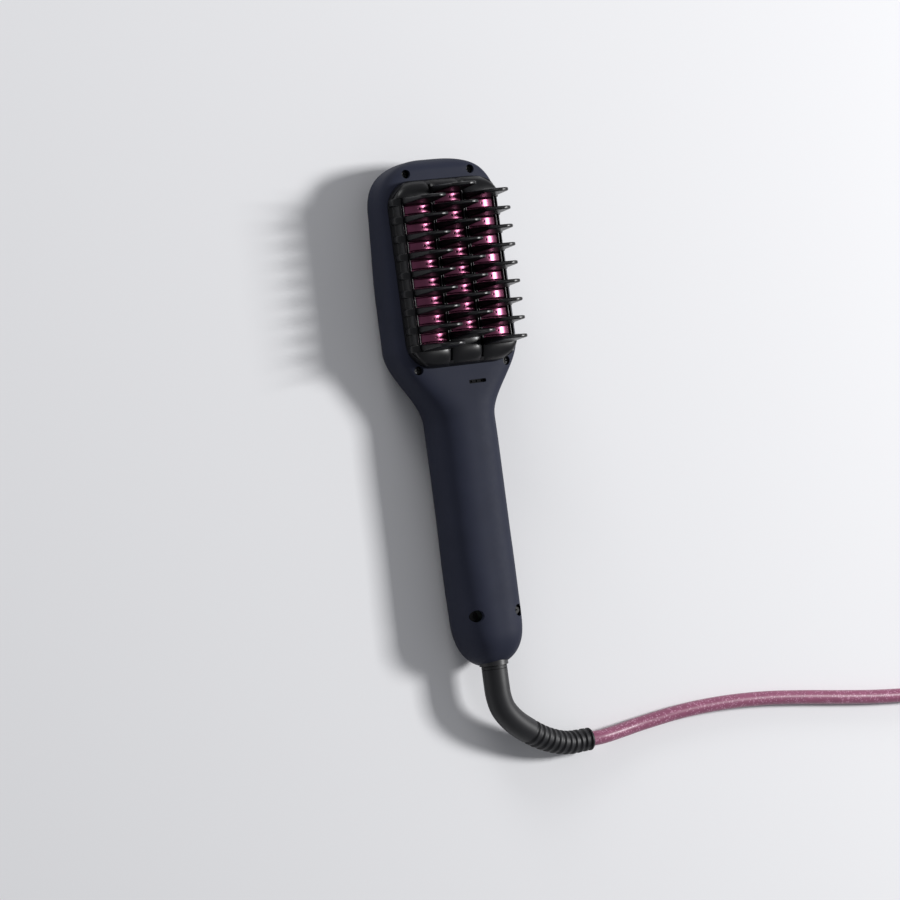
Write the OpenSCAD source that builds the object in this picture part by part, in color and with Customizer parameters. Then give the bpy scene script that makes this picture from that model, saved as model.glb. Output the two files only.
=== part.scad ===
// Steam hair straightener brush, lying on its back with the bristles up.
// X runs across the brush, Y runs along it to the top of the head, Z is up.
// All sizes are millimetres. The origin is under the middle of the brush.

/* [Body] */
// Length of the body without its cord
body_len = 262; // [258:1:266]
// Width of the head
head_w = 70.5; // [69:0.5:72]
// Width of the handle
handle_w = 36; // [35:0.5:38]
// Height of the head's front face above the table
head_front_z = 30; // [29.8:0.1:30.4]
// Height of the parting line between the two shells
parting_z = 16; // [15.8:0.1:16.2]
// Wall thickness of the shells
wall = 2.2; // [1.8:0.1:2.4]
// Distance from the top of the head to the start of the neck
neck_start = 96; // [94:1:98]
// Distance from the top of the head to the end of the neck
neck_end = 135; // [133:1:140]

/* [Bristle bed] */
// Width of the raised bed
bed_w = 62; // [61:0.5:62.5]
// Length of the raised bed
bed_len = 96; // [95:0.5:97]
// Distance from the top of the head to the bed
bed_gap = 11.3; // [10.8:0.1:12]
// Height that the bed rises above the head's face
bed_rise = 7; // [6:0.5:8]
// Wall of the bed's frame beside the outer columns
frame_wall = 3.5; // [3.3:0.1:3.8]
// Wall of the bed's frame past the ends of the columns
frame_end = 3; // [2.8:0.1:3.4]
// Length over which the bed slopes down at either end
end_slope = 9; // [7:0.5:10]
// Number of fins in a column
fin_count = 9; // [7:1:9]
// Height of a fin above the bed
fin_h = 20.5; // [14:0.5:24]
// Thickness of a fin at its root
fin_root = 4.3; // [3.8:0.1:4.6]
// Thickness of a fin at its tip
fin_tip = 1.7; // [1.4:0.1:2.2]
// How much narrower a fin is at its tip than at its root
fin_taper = 3.4; // [2:0.2:5]
// Diameter of a steam hole
steam_d = 1.2; // [1:0.1:1.6]

/* [Controls] */
// Diameter of the power button
power_d = 11; // [9:0.5:12]
// Diameter of each temperature button
temp_d = 8; // [7:0.5:9]
// Diameter of the steam button
steam_btn_d = 14; // [12:0.5:15]
// Travel of the three small buttons
button_travel = 0.5; // [0.3:0.1:0.6]
// Travel of the steam button
steam_travel = 1.2; // [0.8:0.1:1.4]

/* [Water tank] */
// Width of the tank
tank_w = 34; // [30:1:36]
// Length of the tank from the top of the head
tank_len = 80; // [70:1:84]
// Height of the tank's inner face above the table
tank_top_z = 11.4; // [11:0.1:11.6]

/* [Cord] */
// Diameter of the cord
cord_d = 7.6; // [7:0.1:8]
// Diameter of the strain relief's sleeve
relief_d = 13.3; // [12:0.1:14]
// Number of ribs on the strain relief
relief_ribs = 11; // [8:1:12]
// Diameter of the swivel's shaft
swivel_d = 10; // [9:0.5:11]
// Outer radius of the coil, to the middle of the cord
coil_r = 54; // [52:1:60]
// Width of the plug
plug_w = 35; // [34:0.5:37]
// Height of the plug
plug_h = 13.6; // [13.2:0.2:14.4]
// Diameter of a plug pin
pin_d = 4; // [4:0.1:4.8]
// Length of a plug pin
pin_len = 19; // [18:0.5:20]

/* [Hidden] */
$fn = 48;

// Colours of the photographed pieces and of the inner ones
navy = [0.16, 0.18, 0.24];
gloss_black = [0.06, 0.06, 0.07];
rose = [0.45, 0.17, 0.31];
charcoal = [0.13, 0.13, 0.14];
cord_pink = [0.65, 0.37, 0.51];

// Clearances
slip = 0.05;      // radial gap of a running or seated pair
seat = 0.2;       // gap between pieces that lie on one another
thin = 0.01;      // thickness of a slice that only shapes a hull

// Levels, from the table up
head_h = head_front_z - parting_z;
flange_l = 1.4;   // the swivel's flange, outside the handle's end
end_cap = 0.5;    // how far the rounded top stops short of body_len
top_y = (body_len + flange_l + end_cap) / 2; // the brush and its flange are centred on the origin
end_y = top_y - body_len;
bed_y = top_y - bed_gap - bed_len / 2;
bed_top = head_front_z + bed_rise;
shell_floor = tank_top_z + seat + wall;

// ---- Outline of the body -------------------------------------------------
// s is the distance from the top of the head.

// Smooth step from 0 at a to 1 at b
function ease(a, b, s) = let (t = min(max((s - a) / (b - a), 0), 1)) t * t * (3 - 2 * t);
// Rounding of an end: 0 at the end, 1 from the length e on, n sets how square it is
function round_off(d, e, n) = pow(1 - pow(min(max(1 - d / e, 0), 1), n), 1 / n);

head_end = 26;       // length of the head's rounded top
handle_end = 25;     // length of the handle's rounded end
front_edge = 7;      // rounding of the face at the top
butt_edge = 18;      // rounding of the face at the handle's end
grip_rise = 3;       // how much higher the handle's face is than the head's
butt_rise = 2.2;     // further rise towards the handle's end
rest_cut = 0.2;      // what the table face cuts off the back
back_depth = parting_z + rest_cut; // depth of the back below the parting line
top_lift = 6;        // how much the back rises towards the top of the head
grip_lift = 2.4;     // how much the back rises under the fingers

function half_w(s) = (head_w / 2 + (handle_w - head_w) / 2 * ease(neck_start, neck_end, s)
    - (1 - ease(0, 70, s)) - 0.9 * ease(200, 250, s))
    * round_off(s, head_end, 2.5) * round_off(body_len - s, handle_end, 2.3);
function front_h(s) = (head_h + grip_rise * ease(neck_start + 4, neck_end + 15, s)
    + butt_rise * ease(190, 250, s))
    * round_off(s, front_edge, 2.2) * round_off(body_len - s, butt_edge, 2.2);
function back_h(s) = (back_depth - top_lift * (1 - ease(20, 72, s))
    - grip_lift * (ease(110, 150, s) - ease(180, 226, s)))
    * round_off(s, 10, 2.2) * round_off(body_len - s, 24, 2);
function front_power(s) = 6 - 3.2 * ease(neck_start, neck_end, s);
function back_power(s) = 3.4 - 0.9 * ease(neck_start, neck_end, s);

// Arc of a section, from the right side over the face to the left side
function arc(w, h, n, steps) = [for (i = [0:steps]) let (a = 180 * i / steps, c = cos(a), k = sin(a))
    [w * sign(c) * pow(abs(c), 2 / n), h * pow(max(k, 0), 2 / n)]];

// Stations along the body, closer together at the rounded ends
function station(i, count) = body_len * (1 - cos(180 * i / count)) / 2;

// Half of the body, shrunk by inset: side +1 is the front, -1 the back.
// Each section's arc is closed along the parting plane, or below it by skirt.
module half_body(side, inset = 0, skirt = 0, steps = 28, count = 36) {
    near = inset + 1.5;
    rings = [for (i = [1:count - 1]) let (s = near * (inset > 0 ? 1 : 0)
            + station(i, count) * (body_len - (inset > 0 ? 2 * near : 0)) / body_len,
            w = max(half_w(s) - inset, 1),
            h = max((side > 0 ? front_h(s) : back_h(s)) - inset, 1),
            line = arc(w, h, side > 0 ? front_power(s) : back_power(s), steps))
        concat([for (p = line) [p[0], top_y - s, parting_z + side * p[1]]], skirt == 0 ? [] :
            [[-w, top_y - s, parting_z - side * skirt], [w, top_y - s, parting_z - side * skirt]])];
    loft(rings, side > 0);
}

// Closed skin over rings of points, which all have the same count
module loft(rings, flip) {
    n = len(rings[0]);
    m = len(rings);
    walls = [for (j = [0:m - 2]) for (i = [0:n - 1]) let (k = (i + 1) % n, a = j * n + i,
            b = j * n + k, c = (j + 1) * n + k, d = (j + 1) * n + i) for (f = [[a, b, c], [a, c, d]]) f];
    caps = [for (i = [1:n - 2]) for (f = [[0, i + 1, i],
            [(m - 1) * n, (m - 1) * n + i, (m - 1) * n + i + 1]]) f];
    faces = concat(walls, caps);
    polyhedron([for (r = rings) for (p = r) p],
        flip ? [for (f = faces) [f[0], f[2], f[1]]] : faces);
}

// ---- Shared shapes -------------------------------------------------------

// Rounded rectangle, centred
module plate(w, l, r) {
    difference() {
        square([w, l], center = true);
        for (x = [-1, 1], y = [-1, 1]) translate([x * w / 2, y * l / 2]) difference() {
            square(2 * r, center = true);
            translate([-x * r, -y * r]) circle(r);
        }
    }
}
module slab(w, l, r, z0, z1, y = 0, x = 0) {
    translate([x, y, z0]) linear_extrude(z1 - z0) plate(w, l, r);
}
module block(x, y, z) {
    translate([x[0], y[0], z[0]]) cube([x[1] - x[0], y[1] - y[0], z[1] - z[0]]);
}
module post(x, y, d, z0, z1) {
    translate([x, y, z0]) cylinder(d = d, h = z1 - z0);
}
// A rod along Y
module shaft(x, z, d, y0, y1) {
    translate([x, y0, z]) rotate([-90, 0, 0]) cylinder(d = d, h = y1 - y0);
}
// A profile drawn in X and Z, extruded along Y about y = 0
module across(l) {
    rotate([90, 0, 0]) linear_extrude(l, center = true) children();
}
// A profile drawn in Y and Z, extruded along X about x = 0
module along(w) {
    rotate([90, 0, 90]) linear_extrude(w, center = true) children();
}

// Unit vector
function unit(v) = v / norm(v);
// Smooth curve through the points of a route, step places per stretch
function bend(p, step) = concat([for (i = [0:len(p) - 2]) for (j = [0:step - 1]) let (t = j / step,
        a = p[max(i - 1, 0)], b = p[i], c = p[i + 1], d = p[min(i + 2, len(p) - 1)])
    ((2 * b) + (c - a) * t + (2 * a - 5 * b + 4 * c - d) * t * t
        + (3 * b - a - 3 * c + d) * t * t * t) / 2], [p[len(p) - 1]]);
// Direction of a route at its place i
function heading(p, i) = unit(p[min(i + 1, len(p) - 1)] - p[max(i - 1, 0)]);
// A tube of radius r, or of the radii r[i], along the places p; beside is never along the route
module tube(p, r, sides, beside = [0, 0, 1]) {
    rings = [for (i = [0:len(p) - 1]) let (t = heading(p, i), u = unit(cross(t, beside)), v = cross(t, u),
            q = is_list(r) ? r[i] : r)
        [for (k = [0:sides - 1]) let (a = 360 * (k + 0.5) / sides) p[i] + q * (cos(a) * u + sin(a) * v)]];
    loft(rings, false);
}

// ---- Bristle bed ---------------------------------------------------------

window_w = bed_w - 2 * frame_wall;        // inside of the bed's frame
window_l = bed_len - 2 * frame_end;
window_r = 11;
bed_r = 14;                               // corner radius of the bed
comb_play = 0.5;                          // room at either side of the three columns
column_pitch = (window_w - 2 * comb_play) / 3;
fin_end = 2.925;                          // from the frame to the middle of the nearest fin
fin_pitch = (window_l - 2 * fin_end) / fin_count; // the middle column stands half a pitch further on
fin_span = (fin_count - 1) * fin_pitch;   // first fin to last fin
fin_w = column_pitch - 0.6;               // width of a fin at its root
fin_tip_w = fin_w - fin_taper;
fin_corner = 3;                           // rounding of a fin's tip
strip_w = column_pitch - 2.4;             // width of a column's heated ribs
rail = 0.9;                               // wall of a comb beside its strip
base_h = 0.6;                             // how far a comb's cross bars stand above the bed
lobe_h = 0.8;                             // how far its round ends do
frame_flange_w = 1.2;                     // flange under the shell, round the frame
frame_flange_z = [21.6, 23.6];
frame_skirt = [[0, 1.6], [0.7, 2], [0.92, 2.6], [1, 3.4]]; // share of the rise, distance from the outline
foot_d = 3.5;                             // depth of the foot under an outer fin
plate_base_z = 24.6;                      // underside of the heater plates
plate_flange = 2.8;                       // thickness of their base
comb_z = plate_base_z + plate_flange + seat;
slot_z = bed_top - 4;                     // bottom of the slots for the fins
crown = 2.8;                              // how far the heated ribs arch up
crown_top = bed_top + 1.4;
rib_gap = 0.27;                           // between a heated rib and a fin

// Place of a column, and how far its fins are shifted along the brush
function column_x(k) = k * column_pitch;
function column_y(k) = bed_y + (k == 0 ? fin_pitch / 2 : 0);

// Lengthways outline of the bed's top, about its middle: level, and a quarter ellipse at either end
function bed_line(top) = let (a = bed_len / 2, h = top - head_front_z - seat)
    concat([[-a, frame_flange_z[0]]],
        [for (i = [0:8]) [end_slope * (1 - cos(90 * i / 8)) - a, head_front_z + seat + h * sin(90 * i / 8)]],
        [for (i = [8:-1:0]) [a - end_slope * (1 - cos(90 * i / 8)), head_front_z + seat + h * sin(90 * i / 8)]],
        [[a, frame_flange_z[0]]]);

module bristle_frame() {
    rise = bed_rise - seat;
    foot_x = window_w / 2 - seat;
    color(gloss_black) difference() {
        union() {
            slab(bed_w + 2 * frame_flange_w, bed_len - 2 * (bed_r - 2), 4, frame_flange_z[0], frame_flange_z[1], bed_y);
            slab(bed_w - 2 * seat, bed_len - 2 * seat, bed_r, frame_flange_z[0], head_front_z, bed_y);
            translate([0, bed_y, 0]) intersection() {
                hull() for (p = frame_skirt) slab(bed_w - 2 * p[1], bed_len - 2 * p[1], bed_r - p[1],
                    head_front_z + p[0] * rise - thin, head_front_z + p[0] * rise, $fn = 32);
                along(bed_w) polygon(bed_line(bed_top));
            }
            for (x = [-1, 1], i = [0:fin_count - 1])
                translate([x * foot_x, column_y(x) + (i - (fin_count - 1) / 2) * fin_pitch, 0])
                    mirror([x < 0 ? 1 : 0, 0, 0]) across(fin_root - seat)
                        polygon([[0, head_front_z - 1], [0, bed_top - seat], [foot_d * 0.45, bed_top - seat],
                            [foot_d * 0.8, bed_top - 1.2], [foot_d, bed_top - 3.4], [foot_d, head_front_z - 1]]);
        }
        slab(window_w, window_l, window_r, 0, bed_top + 5, bed_y);
    }
}

// Outline of a fin seen along the brush: tapered, with a rounded, slightly crowned tip
function fin_outline(z0) = let (top = bed_top + fin_h, r = fin_corner, a = fin_w / 2, b = fin_tip_w / 2,
        low = bed_top + base_h, side = top - r - 0.5)
    concat([[-a, z0], [a, z0], [a, low]], [for (i = [0:5]) [b - r + r * cos(18 * i), side + r * sin(18 * i)]],
        [[0, top]], [for (i = [5:-1:0]) [-b + r - r * cos(18 * i), side + r * sin(18 * i)]], [[-a, low]]);
// Outline of a fin seen across the brush: thick root, thin round tip
function fin_side(z0) = let (top = bed_top + fin_h, a = fin_root / 2, b = fin_tip / 2)
    concat([[-a, z0], [a, z0], [a, bed_top]],
        [for (i = [0:6]) let (q = 30 * i) [b * cos(q), top - b + b * sin(q)]], [[-a, bed_top]]);

// Strip with an arched top, drawn in X and Z
module crown_profile(w, top, low) {
    r = (w * w / 4 + crown * crown) / (2 * crown);
    intersection() {
        translate([-w / 2, low]) square([w, top - low]);
        translate([0, top - r]) circle(r, $fn = 96);
    }
}

module comb(k) {
    first = column_y(k) - fin_span / 2;
    last = column_y(k) + fin_span / 2;
    w = column_pitch - 2 * seat;
    intersection() {
        slab(window_w - 2 * seat, window_l - 2 * seat, window_r, comb_z, bed_top + 8, bed_y);
        translate([column_x(k), 0, 0]) {
            for (x = [-w / 2, w / 2 - rail]) block([x, x + rail], [first, last], [comb_z, bed_top - 2 * seat]);
            for (e = [[bed_y - window_l / 2, first], [last, bed_y + window_l / 2]]) intersection() {
                block([-w / 2, w / 2], e, [comb_z, bed_top + lobe_h]);
                translate([0, bed_y, 0]) across(bed_len) crown_profile(w, bed_top + lobe_h, comb_z);
                translate([0, bed_y, 0]) along(w) polygon(bed_line(bed_top + lobe_h));
            }
            for (i = [0:fin_count - 1]) translate([0, first + i * fin_pitch, 0])
                block([-w / 2, w / 2], [-fin_root / 2, fin_root / 2], [slot_z + seat, bed_top + base_h]);
        }
    }
    for (i = [0:fin_count - 1]) translate([column_x(k), first + i * fin_pitch, 0]) intersection() {
        across(2 * fin_root) polygon(fin_outline(bed_top + base_h / 2));
        along(2 * fin_w) polygon(fin_side(bed_top + base_h / 2));
    }
}
module comb_left() { color(gloss_black) comb(-1); }
module comb_centre() { color(gloss_black) comb(0); }
module comb_right() { color(gloss_black) comb(1); }

// Heated strip of one column: a flanged base, and a crowned rib with a steam hole between two fins
module heater_plate(k) {
    base_w = column_pitch - 3 * seat;
    rib_l = fin_pitch - fin_root - 2 * rib_gap;
    bar_l = fin_span + fin_root;
    translate([column_x(k), column_y(k), 0]) difference() {
        union() {
            intersection() {
                block([-base_w / 2, base_w / 2], [-bar_l / 2, bar_l / 2], [plate_base_z, plate_base_z + plate_flange]);
                slab(window_w - 2 * seat, window_l - 2 * seat, window_r, plate_base_z, plate_base_z + plate_flange,
                    bed_y - column_y(k), -column_x(k));
            }
            block([-strip_w / 2, strip_w / 2], [-fin_span / 2 + fin_root / 2, fin_span / 2 - fin_root / 2],
                [plate_base_z, slot_z]);
            for (i = [0:fin_count - 2]) translate([0, (i - (fin_count - 2) / 2) * fin_pitch, 0])
                across(rib_l) crown_profile(strip_w, crown_top, slot_z - 1);
        }
        for (i = [0:fin_count - 2]) post(0, (i - (fin_count - 2) / 2) * fin_pitch, steam_d, bed_top - 6, bed_top + 5);
    }
}
module heater_plate_left() { color(rose) heater_plate(-1); }
module heater_plate_centre() { color(rose) heater_plate(0); }
module heater_plate_right() { color(rose) heater_plate(1); }

// ---- Shells --------------------------------------------------------------

head_screw_top = [18.6, top_y - 7.7];     // screws at the top of the head
head_screw_low = [25.5, top_y - 107.5];   // screws above the neck
handle_screw = [12.1, end_y + 27];
screw_places = [head_screw_top, head_screw_low, handle_screw];
screw_seat_z = [25.4, 25.4, 26];          // where the heads sit
screw_head_d = [4, 4, 5.4];
recess_d = [4.6, 4.6, 6.2];
boss_d = 6.4;
boss_split_z = parting_z + 4;             // where front and back bosses meet
screw_d = 2.8;
screw_tip_z = 12.8;
screw_head_h = 1.8;
screw_cross = [2.6, 0.6, 0.8];            // length, width and depth of the recess in a head
bulkhead_w = 18;
bulkhead_h = 9;                           // how far the bulkhead stands above the swivel's axis
axle_z = 20;                              // swivel axis above the table
bushing_d = 15;
bulkhead_y = [end_y + 7, end_y + 9.8];    // rib that holds the swivel's bushing
slot_x = 6.4;                             // the outlet slot in the neck
slot_y = top_y - 116.2;
slot_w = 10;
slot_h = 1.9;
chamber_w = bed_w - 12;                   // the steam chamber fills the bed, less its frame
chamber_l = bed_len - 12;
nozzle_l = 7;
nozzle_y = bed_y - chamber_l / 2 - nozzle_l;
pump_l = 21;
pump_y = [nozzle_y - 8.65, nozzle_y - 8.65 + pump_l];

module at_screws() {
    for (i = [0:2], x = [-1, 1]) translate([x * screw_places[i][0], screw_places[i][1], 0]) {
        $i = i;
        children();
    }
}

module front_shell() {
    color(navy) difference() {
        union() {
            difference() {
                half_body(1);
                half_body(1, wall, 1, 18, 26);
            }
            at_screws() post(0, 0, boss_d, boss_split_z, screw_seat_z[$i] + 2);
            block([-bulkhead_w / 2, bulkhead_w / 2], bulkhead_y, [parting_z, axle_z + bulkhead_h]);
        }
        slab(bed_w, bed_len, bed_r, parting_z + 4, head_front_z + 5, bed_y);
        at_screws() {
            post(0, 0, recess_d[$i], screw_seat_z[$i], 40);
            post(0, 0, screw_d + 0.4, parting_z, 40);
        }
        translate([slot_x, slot_y, parting_z + 4]) linear_extrude(20) plate(slot_w, slot_h, 0.6);
        shaft(0, axle_z, bushing_d + 2 * slip, end_y - 5, bulkhead_y[1] + 0.1);
    }
}

button_gap = 0.15;                        // round each button
grip_z = grip_lift - rest_cut;            // the back under the fingers
pcb_end = pump_y[0] - 5;                  // end of the board towards the head
steam_y = pcb_end - 9;
display_y = steam_y - 18;
temp_up_y = display_y - 17;
temp_down_y = temp_up_y - 12;
power_y = temp_down_y - 16;
lens_w = 15;
lens_l = 9;
pocket_w = tank_w + 2 * seat;
pocket_y = top_y - tank_len - seat;
rail_w = 1.4;                             // how far the tank's rails stand out
rail_z = [8.4, 10.4];
socket_z = 6.6;                           // axis of the tank's outlet
valve_d = 6;
pcb_z = 9.2;                              // underside of the board
pcb_posts = [[5.5, power_y - 18.5], [5.5, display_y - 9]];
pcb_screw_d = 2;
pcb_post_d = 4.6;
bay_end = 3.5;                            // wall of the bay, from the top of the head

module back_shell() {
    color(navy) difference() {
        union() {
            difference() {
                half_body(-1);
                half_body(-1, wall, 1, 18, 26);
            }
            intersection() {
                half_body(-1, 0.5, 0, 14, 20);
                slab(pocket_w + 2 * rail_w + 2 * wall, top_y - bay_end - pocket_y + wall, 12, -1, shell_floor,
                    (top_y - bay_end + pocket_y - wall) / 2);
            }
            at_screws() post(0, 0, boss_d - 0.4, $i == 0 ? tank_top_z + 1 : 5, boss_split_z - seat);
            for (p = pcb_posts, x = [-1, 1])
                post(x * p[0], p[1], pcb_post_d, parting_z - back_h(top_y - p[1]) + wall / 2, pcb_z - 0.1);
            block([-bulkhead_w / 2, bulkhead_w / 2], bulkhead_y, [8.4, parting_z]);
        }
        block([-pocket_w / 2, pocket_w / 2], [pocket_y, top_y + 9], [-5, tank_top_z + seat]);
        block([-pocket_w / 2 - rail_w, pocket_w / 2 + rail_w], [pocket_y, top_y + 9],
            [rail_z[0] - seat, rail_z[1] + seat]);
        block([-60, 60], [-200, 200], [-5, 0]);
        at_screws() post(0, 0, screw_d + 2 * slip, screw_tip_z - 0.4, 40);
        for (p = pcb_posts, x = [-1, 1]) post(x * p[0], p[1], pcb_screw_d + 2 * slip, 5.2, 12);
        shaft(0, socket_z, valve_d + 2 * slip, pocket_y - 6, pocket_y + 1);
        shaft(0, axle_z, bushing_d + 2 * slip, end_y - 5, bulkhead_y[1] + 0.1);
        post(0, power_y, power_d + 2 * button_gap, -1, pcb_z);
        for (y = [temp_down_y, temp_up_y]) post(0, y, temp_d + 2 * button_gap, -1, pcb_z);
        post(0, steam_y, steam_btn_d + 2 * button_gap, -1, pcb_z);
        slab(lens_w + 2 * button_gap, lens_l + 2 * button_gap, 1.6, -1, pcb_z, display_y);
    }
}

module head_screws() {
    color("dimgray") for (i = [0:1], x = [-1, 1]) screw(x * screw_places[i][0], screw_places[i][1], i);
}
module handle_screws() {
    color("dimgray") for (x = [-1, 1]) screw(x * handle_screw[0], handle_screw[1], 2);
}
module screw(x, y, i) {
    z = screw_seat_z[i] + slip;
    translate([x, y, 0]) difference() {
        union() {
            cylinder(d = screw_d, h = z + screw_head_h / 2);
            translate([0, 0, z]) cylinder(d1 = screw_head_d[i], d2 = screw_head_d[i] - 0.6, h = screw_head_h);
        }
        cylinder(d = 10, h = screw_tip_z);
        for (a = [0, 90]) rotate(a) translate([0, 0, z + screw_head_h - screw_cross[2]])
            linear_extrude(2) square([screw_cross[0], screw_cross[1]], center = true);
    }
}

// ---- Heating and steam ---------------------------------------------------

chamber_z = [15.4, 21.2];
chamber_wall = 2;
nozzle_d = 4.6;
nozzle_z = (chamber_z[0] + chamber_z[1]) / 2;
ptc_w = 11.6;
ptc_z = [chamber_z[1] + seat, plate_base_z - seat];

module ptc_heaters() {
    color("silver") for (k = [-1, 0, 1])
        slab(ptc_w, fin_span - 4, 1, ptc_z[0], ptc_z[1], column_y(k), column_x(k));
}
module steam_chamber() {
    color("lightgray") difference() {
        union() {
            slab(chamber_w, chamber_l, 6, chamber_z[0], chamber_z[1], bed_y);
            shaft(0, nozzle_z, nozzle_d, nozzle_y, bed_y - chamber_l / 2 + 1);
        }
        slab(chamber_w - 2 * chamber_wall, chamber_l - 2 * chamber_wall, 4, chamber_z[0] + 1.2, chamber_z[1] - 1.2, bed_y);
        shaft(0, nozzle_z, 2, nozzle_y - 1, bed_y - chamber_l / 2 + 3);
    }
}
module heat_shield() {
    color("khaki") difference() {
        slab(chamber_w + 4, chamber_l + 4, 6, shell_floor + seat, chamber_z[0] - seat, bed_y);
        for (x = [-1, 1], y = [-30, 0, 30]) post(x * 22, bed_y + y, 4, 0, 20);
    }
}
module thermal_fuse() {
    color("white") shaft(-column_pitch / 2, ptc_z[0] + 1.4, 2.8, bed_y + 4, bed_y + 16);
}
module ntc_sensor() {
    color("black") {
        shaft(column_pitch / 2, ptc_z[0] + 1.3, 2.6, bed_y - 4, bed_y);
        shaft(column_pitch / 2, ptc_z[0] + 1.3, 0.8, bed_y - 14, bed_y - 4);
    }
}
pump_z = [4, 12.4];
pump_motor_l = 8;                         // length of the pump's round motor
module tank_valve() {
    y = pocket_y - wall - seat;
    color("white") difference() {
        union() {
            shaft(0, socket_z, valve_d, y - 1, pocket_y + 3);
            shaft(0, socket_z, valve_d + 3, y - 1.6, y);
        }
        shaft(0, socket_z, 2.4, y - 5, pocket_y + 5);
    }
}
module valve_seal() {
    color("orangered") difference() {
        shaft(0, socket_z, valve_d + 2.6, pocket_y + slip, pocket_y + 1);
        shaft(0, socket_z, valve_d + 2 * slip, pocket_y - 1, pocket_y + 2);
    }
}
module water_pump() {
    color("gray") {
        slab(20, pump_l - pump_motor_l, 2, pump_z[0], pump_z[1], (pump_y[0] + pump_y[1] + pump_motor_l) / 2);
        shaft(0, (pump_z[0] + pump_z[1]) / 2, pump_z[1] - pump_z[0] - 0.6, pump_y[0], pump_y[0] + pump_motor_l + 1);
    }
}
tube_d = 3.6;
module inlet_tube() {
    color("white") difference() {
        shaft(0, socket_z, tube_d, pump_y[1] + 0.1, pocket_y - wall - seat - 1.7);
        shaft(0, socket_z, 2, pump_y[1] - 1, pocket_y);
    }
}
// The outlet tube leaves the top of the pump's motor and bends into the nozzle
outlet_y = pump_y[0] + 4;
outlet_route = [[0, outlet_y, pump_z[1] + 0.1], [0, outlet_y, nozzle_z - 3.9], [0, outlet_y + 0.2, nozzle_z - 1.7],
    [0, outlet_y + 1.6, nozzle_z - 0.3], [0, outlet_y + 2.8, nozzle_z], [0, nozzle_y - 0.1, nozzle_z]];
module outlet_tube() {
    color("white") tube(bend(outlet_route, 3), tube_d / 2, 8, [1, 0, 0]);
}

// ---- Board, controls and outlet ------------------------------------------

pcb_w = 17;
pcb_y = [end_y + 14, pcb_end];
pcb_t = 1.6;
pcb_top = pcb_z + pcb_t;
switch_w = 6;
switch_h = 2.18;                          // from the board to the tip of a switch's nub
nub_z = pcb_z - switch_h;
nub_l = 0.28;
flange_t = 1;                             // flange of a button
stop_gap = 0.02;                          // left between a pressed button and its switch
press_z = nub_z - stop_gap - flange_t;    // flange of a button that is pressed home
module main_pcb() {
    color("darkgreen") difference() {
        block([-pcb_w / 2, pcb_w / 2], pcb_y, [pcb_z, pcb_top]);
        for (p = pcb_posts, x = [-1, 1]) post(x * p[0], p[1], pcb_screw_d + 0.3, pcb_z - 1, pcb_top + 1);
    }
}
module pcb_screws() {
    color("silver") for (p = pcb_posts, x = [-1, 1]) {
        post(x * p[0], p[1], pcb_screw_d, 5.6, pcb_top + 0.3);
        post(x * p[0], p[1], 3.8, pcb_top + 0.1, pcb_top + 1.4);
    }
}
// Parts on the board: width, length and height
transformer = [12, 9.2, 11];
relay = [10, 14, 8];
driver = [6, 8, 1.6];
processor = [6, 12, 2];
connector = [14, 6, 5];
capacitor_d = 8;
capacitor_h = 12;
module on_board(x, y, size) {
    translate([x - size[0] / 2, y, pcb_top + slip]) cube(size);
}
module pcb_components() {
    color("dimgray") {
        on_board(0, power_y - 7 - transformer[1], transformer);
        on_board(-2, temp_down_y - relay[1], relay);
        on_board(-4.5, temp_up_y - driver[1], driver);
        on_board(0, display_y - 3, processor);
        on_board(0, steam_y - 1, connector);
        post(3.5, temp_up_y - capacitor_d / 2, capacitor_d, pcb_top + slip, pcb_top + slip + capacitor_h);
    }
}
module tact_switches() {
    color("black") for (y = [power_y, temp_down_y, temp_up_y, steam_y]) {
        slab(switch_w, switch_w, 0.5, nub_z + nub_l, pcb_z - slip, y);
        post(0, y, switch_w / 2, nub_z, nub_z + nub_l + 0.1);
    }
}
lens_z = [grip_z + 0.3, 6, 6.4];          // face, underside of the flange and back of the lens
lens_lip = 1;
module display_lens() {
    color("black") {
        slab(lens_w, lens_l, 1.5, lens_z[0], lens_z[1], display_y);
        slab(lens_w + 2 * lens_lip, lens_l + 2 * lens_lip, 1.5, lens_z[1] - seat, lens_z[2], display_y);
    }
}
module display_module() {
    color("darkslategray") slab(lens_w, lens_l, 0.5, lens_z[2] + slip, pcb_z - slip, display_y);
}
ion_size = [14, 12, 6.9];
ion_z = 20.6;
outlet_z = [ion_z + ion_size[2] + 0.1, ion_z + ion_size[2] + 1.7]; // sunk below the neck's face
outlet_pitch = 3;
module ion_outlet() {
    color("black") translate([slot_x, slot_y, 0]) difference() {
        slab(slot_w - seat, slot_h - seat, 0.5, outlet_z[0], outlet_z[1]);
        for (x = [-1, 0, 1]) post(x * outlet_pitch, 0, 1, outlet_z[0] - 1, outlet_z[1] + 1);
    }
}
module ion_generator() {
    color("ivory") slab(ion_size[0], ion_size[1], 1, ion_z, ion_z + ion_size[2], slot_y - 1, slot_x - 1);
}

// A round button with a chamfered face and a flange that keeps it in the shell
module button(y, d, z_face, z_flange) {
    translate([0, y, z_face]) {
        cylinder(d1 = d - 2 * button_edge, d2 = d, h = button_edge);
        translate([0, 0, button_edge]) cylinder(d = d, h = z_flange - z_face);
        translate([0, 0, z_flange - z_face]) cylinder(d = d + 2 * button_lip, h = flange_t);
    }
}
button_edge = 0.5;
button_lip = 0.8;
key_z = grip_z - 0.4;                     // face of the small buttons, just proud of the back
steam_face_z = 0.9;
module power_button() { color("black") button(power_y, power_d, key_z, press_z - button_travel); }
module temp_up_button() { color("black") button(temp_up_y, temp_d, key_z, press_z - button_travel); }
module temp_down_button() { color("black") button(temp_down_y, temp_d, key_z, press_z - button_travel); }
module steam_button() { color("black") button(steam_y, steam_btn_d, steam_face_z, press_z - steam_travel); }

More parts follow.
